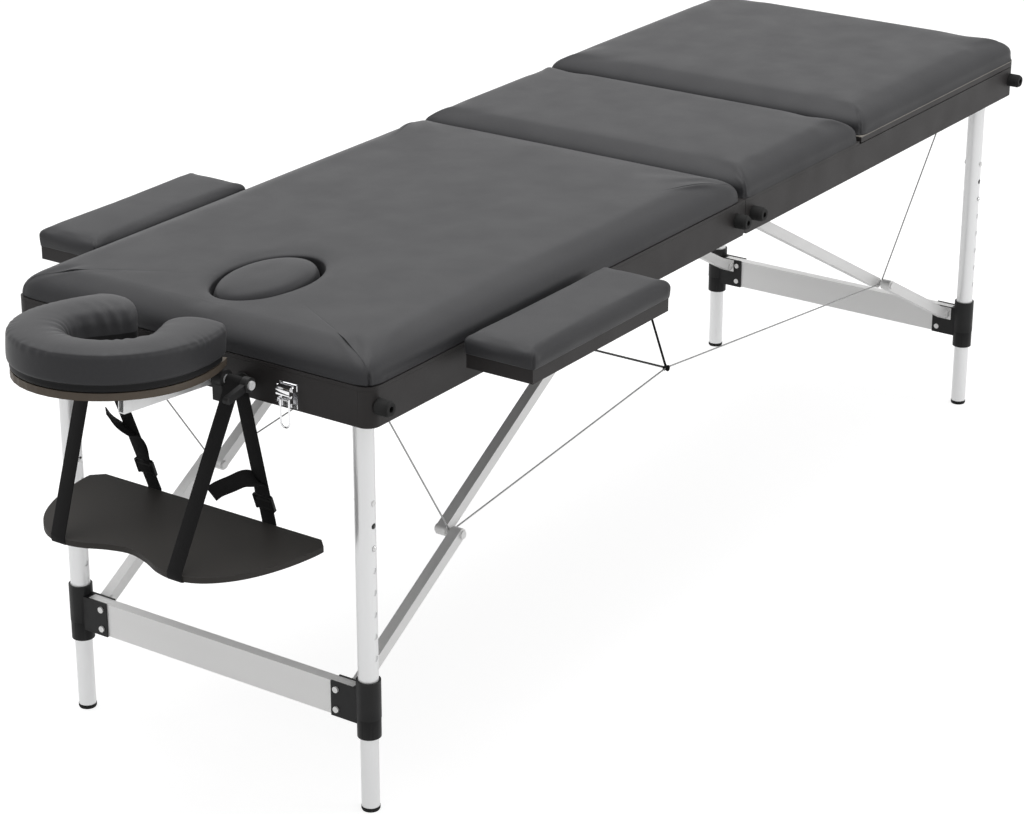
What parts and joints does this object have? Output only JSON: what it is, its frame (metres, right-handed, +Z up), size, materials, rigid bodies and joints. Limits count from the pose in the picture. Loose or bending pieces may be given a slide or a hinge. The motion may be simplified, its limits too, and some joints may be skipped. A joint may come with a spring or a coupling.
{
  "type": "folding massage table",
  "caption": "Folding massage table with a lifting backrest, telescopic aluminium legs, cable braces, a tilting face cradle, an arm sling and side armrests.",
  "frame": {"origin": "on the floor, under the middle of the bounding box", "axes": "+X from the head end towards the foot end, +Y to the far long side with the handles, +Z up"},
  "size_m": [2.1378, 0.856, 0.713],
  "materials": {
    "wrapped_frame": "hardwood and plywood under black vinyl",
    "vinyl": "charcoal vinyl over foam, satin",
    "vinyl_dark": "charcoal vinyl over foam, satin",
    "plywood": "plywood under black vinyl",
    "plywood_light": "birch plywood, clear",
    "zinc_steel": "zinc plated",
    "chrome": "polished",
    "black_rubber": "matt",
    "black_plastic": "satin black",
    "aluminium": "silver anodised",
    "button_steel": "polished",
    "cable_steel": "twisted steel cable",
    "elastic": "black elastic cord",
    "sling_board": "board under black vinyl",
    "webbing": "black nylon webbing"
  },
  "bodies": {
    "head_half": {"head_frame": "wrapped_frame", "head_cushion": "vinyl", "head_brackets": "zinc_steel", "head_bumpers": "black_rubber", "socket_bushes": "black_plastic", "latch_bases": "chrome", "head_handle": "black_plastic", "head_cables": "cable_steel", "elastic_cords": "elastic"},
    "foot_half": {"foot_frame": "wrapped_frame", "seat_cushion": "vinyl", "foot_brackets": "zinc_steel", "foot_bumpers": "black_rubber", "latch_catches": "chrome", "stay_racks": "zinc_steel", "foot_handle": "black_plastic", "foot_cables": "cable_steel"},
    "backrest": {"backrest_board": "plywood", "backrest_cushion": "vinyl", "backrest_hinge": "zinc_steel"},
    "stays": {"backrest_stays": "zinc_steel"},
    "head_leg_frame": {"head_leg_tubes": "aluminium", "head_crossbar": "aluminium", "head_couplings": "black_plastic"},
    "foot_leg_frame": {"foot_leg_tubes": "aluminium", "foot_crossbar": "aluminium", "foot_couplings": "black_plastic"},
    "head_near_inner_leg": {"inner_tube_head_near": "aluminium", "foot_cap_head_near": "black_rubber"},
    "head_near_button": {"leg_button_head_near": "button_steel"},
    "head_far_inner_leg": {"inner_tube_head_far": "aluminium", "foot_cap_head_far": "black_rubber"},
    "head_far_button": {"leg_button_head_far": "button_steel"},
    "foot_near_inner_leg": {"inner_tube_foot_near": "aluminium", "foot_cap_foot_near": "black_rubber"},
    "foot_near_button": {"leg_button_foot_near": "button_steel"},
    "foot_far_inner_leg": {"inner_tube_foot_far": "aluminium", "foot_cap_foot_far": "black_rubber"},
    "foot_far_button": {"leg_button_foot_far": "button_steel"},
    "head_lower_braces": {"head_lower_links": "aluminium"},
    "head_upper_braces": {"head_upper_links": "aluminium"},
    "foot_lower_braces": {"foot_lower_links": "aluminium"},
    "foot_upper_braces": {"foot_upper_links": "aluminium"},
    "cradle_base": {"cradle_rods": "aluminium", "cradle_blocks": "black_plastic"},
    "cradle_top": {"cradle_bars": "aluminium", "cradle_platform": "plywood_light", "cradle_cushion": "vinyl_dark"},
    "cradle_cam": {"cam_lever": "black_plastic"},
    "arm_sling": {"sling_board": "sling_board", "sling_straps": "webbing"},
    "near_armrest": {"near_armrest_board": "plywood", "near_armrest_pad": "vinyl_dark"},
    "far_armrest": {"far_armrest_board": "plywood", "far_armrest_pad": "vinyl_dark"},
    "plug": {"face_plug": "vinyl"},
    "near_latch_lever": {"latch_lever_near": "chrome"},
    "far_latch_lever": {"latch_lever_far": "chrome"},
    "near_latch_bail": {"latch_bail_near": "chrome"},
    "far_latch_bail": {"latch_bail_far": "chrome"}
  },
  "joints": [
    {"name": "table_fold", "type": "hinge", "parent": "head_half", "child": "foot_half", "pos_m": [0.13587, 0, 0.578], "axis": [0, 1, 0], "range_deg": [0, 140], "deforming": ["head_cables", "foot_cables", "elastic_cords"]},
    {"name": "head_leg_fold", "type": "hinge", "parent": "head_half", "child": "head_leg_frame", "pos_m": [-0.74513, 0, 0.596], "axis": [0, -1, 0], "range_deg": [0, 90]},
    {"name": "foot_leg_fold", "type": "hinge", "parent": "foot_half", "child": "foot_leg_frame", "pos_m": [1.01687, 0, 0.596], "axis": [0, 1, 0], "range_deg": [0, 90]},
    {"name": "head_upper_brace_fold", "type": "hinge", "parent": "head_half", "child": "head_upper_braces", "pos_m": [0.02387, 0, 0.617], "axis": [0, 1, 0], "range_deg": [0, 30.75]},
    {"name": "foot_upper_brace_fold", "type": "hinge", "parent": "foot_half", "child": "foot_upper_braces", "pos_m": [0.16787, 0, 0.617], "axis": [0, -1, 0], "range_deg": [0, 28.26]},
    {"name": "head_lower_brace_fold", "type": "hinge", "parent": "head_leg_frame", "child": "head_lower_braces", "pos_m": [-0.72413, 0, 0.172], "axis": [0, -1, 0], "range_deg": [0, 59.25]},
    {"name": "foot_lower_brace_fold", "type": "hinge", "parent": "foot_leg_frame", "child": "foot_lower_braces", "pos_m": [0.99587, 0, 0.172], "axis": [0, 1, 0], "range_deg": [0, 61.74]},
    {"name": "backrest_lift", "type": "hinge", "parent": "foot_half", "child": "backrest", "pos_m": [0.49587, 0, 0.65504], "axis": [0, -1, 0], "range_deg": [0, 70]},
    {"name": "stay_swing", "type": "hinge", "parent": "backrest", "child": "stays", "pos_m": [0.68599, 0, 0.621], "axis": [0, 1, 0], "range_deg": [0, 112.98]},
    {"name": "head_near_leg_height", "type": "slide", "parent": "head_leg_frame", "child": "head_near_inner_leg", "axis": [0, 0, 1], "range_m": [-0.16, 0.032]},
    {"name": "head_near_button_press", "type": "slide", "parent": "head_near_inner_leg", "child": "head_near_button", "axis": [0, 1, 0], "range_m": [0, 0.004], "stiffness_N_per_m": 800},
    {"name": "head_far_leg_height", "type": "slide", "parent": "head_leg_frame", "child": "head_far_inner_leg", "axis": [0, 0, 1], "range_m": [-0.16, 0.032]},
    {"name": "head_far_button_press", "type": "slide", "parent": "head_far_inner_leg", "child": "head_far_button", "axis": [0, 1, 0], "range_m": [0, 0.004], "stiffness_N_per_m": 800},
    {"name": "foot_near_leg_height", "type": "slide", "parent": "foot_leg_frame", "child": "foot_near_inner_leg", "axis": [0, 0, 1], "range_m": [-0.16, 0.032]},
    {"name": "foot_near_button_press", "type": "slide", "parent": "foot_near_inner_leg", "child": "foot_near_button", "axis": [0, 1, 0], "range_m": [0, 0.004], "stiffness_N_per_m": 800},
    {"name": "foot_far_leg_height", "type": "slide", "parent": "foot_leg_frame", "child": "foot_far_inner_leg", "axis": [0, 0, 1], "range_m": [-0.16, 0.032]},
    {"name": "foot_far_button_press", "type": "slide", "parent": "foot_far_inner_leg", "child": "foot_far_button", "axis": [0, 1, 0], "range_m": [0, 0.004], "stiffness_N_per_m": 800},
    {"name": "cradle_slide", "type": "slide", "parent": "head_half", "child": "cradle_base", "axis": [-1, 0, 0], "range_m": [0, 0.12]},
    {"name": "cradle_tilt", "type": "hinge", "parent": "cradle_base", "child": "cradle_top", "pos_m": [-0.83213, 0, 0.618], "axis": [0, 1, 0], "range_deg": [-20, 6]},
    {"name": "cam_turn", "type": "hinge", "parent": "cradle_base", "child": "cradle_cam", "pos_m": [-0.83213, 0, 0.618], "axis": [0, -1, 0], "range_deg": [0, 75]},
    {"name": "sling_swing", "type": "hinge", "parent": "cradle_base", "child": "arm_sling", "pos_m": [-0.83213, 0, 0.618], "axis": [0, 1, 0], "range_deg": [-10, 10]},
    {"name": "near_armrest_slide", "type": "slide", "parent": "head_half", "child": "near_armrest", "axis": [0, -1, 0], "range_m": [0, 0.062]},
    {"name": "far_armrest_slide", "type": "slide", "parent": "head_half", "child": "far_armrest", "axis": [0, 1, 0], "range_m": [0, 0.062]},
    {"name": "plug_lift", "type": "slide", "parent": "head_half", "child": "plug", "axis": [0, 0, 1], "range_m": [0, 0.06]},
    {"name": "near_latch_turn", "type": "hinge", "parent": "head_half", "child": "near_latch_lever", "pos_m": [-0.79613, -0.173, 0.609], "axis": [0, 1, 0], "range_deg": [0, 90]},
    {"name": "near_bail_swing", "type": "hinge", "parent": "near_latch_lever", "child": "near_latch_bail", "pos_m": [-0.80013, -0.173, 0.594], "axis": [0, 1, 0], "range_deg": [0, 100]},
    {"name": "far_latch_turn", "type": "hinge", "parent": "head_half", "child": "far_latch_lever", "pos_m": [-0.79613, 0.173, 0.609], "axis": [0, 1, 0], "range_deg": [0, 90]},
    {"name": "far_bail_swing", "type": "hinge", "parent": "far_latch_lever", "child": "far_latch_bail", "pos_m": [-0.80013, 0.173, 0.594], "axis": [0, 1, 0], "range_deg": [0, 100]}
  ],
  "couplings": [
    {"joint": "head_leg_fold", "follows": "table_fold", "ratio": 0.64286},
    {"joint": "foot_leg_fold", "follows": "table_fold", "ratio": 0.64286},
    {"joint": "head_upper_brace_fold", "follows": "table_fold", "ratio": 0.21964},
    {"joint": "foot_upper_brace_fold", "follows": "table_fold", "ratio": 0.20182},
    {"joint": "head_lower_brace_fold", "follows": "table_fold", "ratio": 0.42322},
    {"joint": "foot_lower_brace_fold", "follows": "table_fold", "ratio": 0.44103},
    {"joint": "stay_swing", "follows": "backrest_lift", "ratio": 1.6141}
  ]
}
